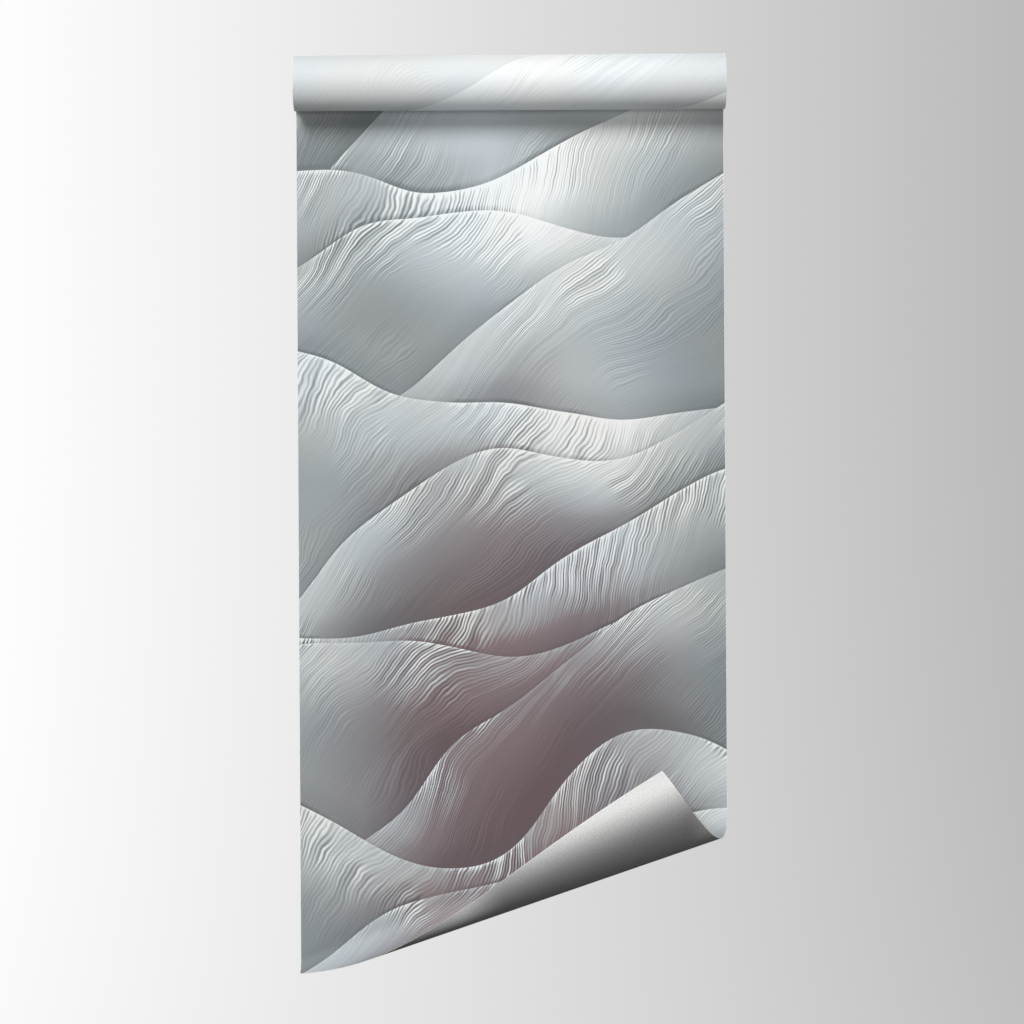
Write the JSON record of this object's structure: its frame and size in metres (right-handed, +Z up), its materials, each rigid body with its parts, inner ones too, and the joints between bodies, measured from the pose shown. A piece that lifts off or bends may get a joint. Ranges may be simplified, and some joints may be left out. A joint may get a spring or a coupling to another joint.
{
  "type": "wallpaper roll, partly unrolled",
  "caption": "Printed wallpaper, partly unrolled: a wound roll with an open eye above a flat hanging length whose lower right corner curls up to show the plain back.",
  "frame": {"origin": "middle of the hanging length, on its back, in the plane of the wall that it hangs against", "axes": "+X to the right as seen from the room, along the roll; +Y into the wall, out of the paper's back; +Z up, from the bottom edge to the roll"},
  "size_m": [0.5308, 0.0926, 1.1329],
  "materials": {
    "printed_paper": "matt"
  },
  "bodies": {
    "root": {"wallpaper_strip": "printed_paper"}
  },
  "joints": []
}
